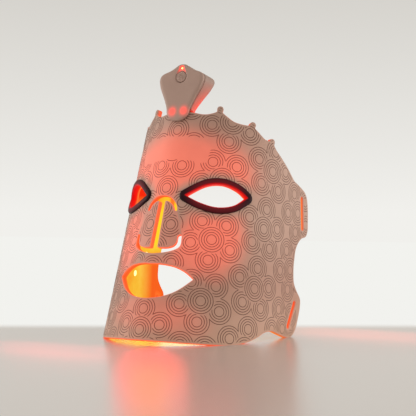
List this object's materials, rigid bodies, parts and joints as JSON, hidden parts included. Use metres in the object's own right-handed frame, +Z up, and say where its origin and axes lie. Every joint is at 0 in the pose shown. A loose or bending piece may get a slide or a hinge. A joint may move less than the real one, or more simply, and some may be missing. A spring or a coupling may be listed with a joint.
{
  "type": "led face mask",
  "caption": "Flexible light-therapy face mask with eye, nose and mouth openings, strap slots in side tabs and a shield-shaped forehead controller.",
  "frame": {"origin": "middle of the footprint, on the table surface the mask stands on", "axes": "+Z up, the mask faces -Y, +X is the wearer's left"},
  "size_m": [0.1484, 0.1586, 0.2291],
  "materials": {
    "silicone_skin": "matte dusty pink-taupe silicone",
    "clear_silicone": "translucent warm silicone, satin",
    "circuit_film": "amber circuit film with light chips",
    "eye_rubber": "black satin rubber",
    "controller_shell": "soft-touch taupe plastic",
    "seal_rubber": "matte dark taupe rubber",
    "light_lens": "clear warm plastic",
    "circuit_board": "green board",
    "black_plastic": "moulded black plastic",
    "plated_steel": "nickel plated",
    "cell_wrap": "foil pouch",
    "foam_pad": "dark foam"
  },
  "bodies": {
    "mask_center": {"outer_skin_center": "silicone_skin", "inner_skin_center": "clear_silicone", "led_circuit_center": "circuit_film", "eye_surround_left": "eye_rubber", "eye_surround_right": "eye_rubber", "front_cover": "controller_shell", "rear_cover": "controller_shell", "cover_seal": "seal_rubber", "status_light_lens": "light_lens", "control_board": "circuit_board", "tact_switch": "black_plastic", "status_led": "light_lens", "main_chip": "black_plastic", "tail_connector": "black_plastic", "usb_c_socket": "plated_steel", "battery_cell": "cell_wrap", "battery_pad": "foam_pad", "cover_screw_1": "plated_steel", "cover_screw_2": "plated_steel", "cover_screw_3": "plated_steel", "cover_screw_4": "plated_steel"},
    "left_panel": {"outer_skin_left_panel": "silicone_skin", "inner_skin_left_panel": "clear_silicone", "led_circuit_left_panel": "circuit_film"},
    "right_panel": {"outer_skin_right_panel": "silicone_skin", "inner_skin_right_panel": "clear_silicone", "led_circuit_right_panel": "circuit_film"},
    "left_nose_flap": {"nose_flap_left": "silicone_skin"},
    "right_nose_flap": {"nose_flap_right": "silicone_skin"},
    "button": {"power_button": "controller_shell"}
  },
  "joints": [
    {"name": "left_panel_bend", "type": "hinge", "parent": "mask_center", "child": "left_panel", "pos_m": [0.06697, 0.01545, 0.07893], "axis": [0.0354, -0.287, -0.9573], "range_deg": [-15, 30], "stiffness_Nm_per_rad": 0.2},
    {"name": "right_panel_bend", "type": "hinge", "parent": "mask_center", "child": "right_panel", "pos_m": [-0.06697, 0.01545, 0.07893], "axis": [0.0354, 0.287, 0.9573], "range_deg": [-15, 30], "stiffness_Nm_per_rad": 0.2},
    {"name": "left_nose_flap_bend", "type": "hinge", "parent": "mask_center", "child": "left_nose_flap", "pos_m": [0.02094, -0.04593, 0.08644], "axis": [-0.326, 0.1725, 0.9295], "range_deg": [0, 50], "stiffness_Nm_per_rad": 0.02},
    {"name": "right_nose_flap_bend", "type": "hinge", "parent": "mask_center", "child": "right_nose_flap", "pos_m": [-0.02094, -0.04593, 0.08644], "axis": [-0.326, -0.1725, -0.9295], "range_deg": [0, 50], "stiffness_Nm_per_rad": 0.02},
    {"name": "button_press", "type": "slide", "parent": "mask_center", "child": "button", "axis": [0, 0.9781, -0.2079], "range_m": [0, 0.0005], "stiffness_N_per_m": 1500, "springref_m": -0.0003}
  ]
}
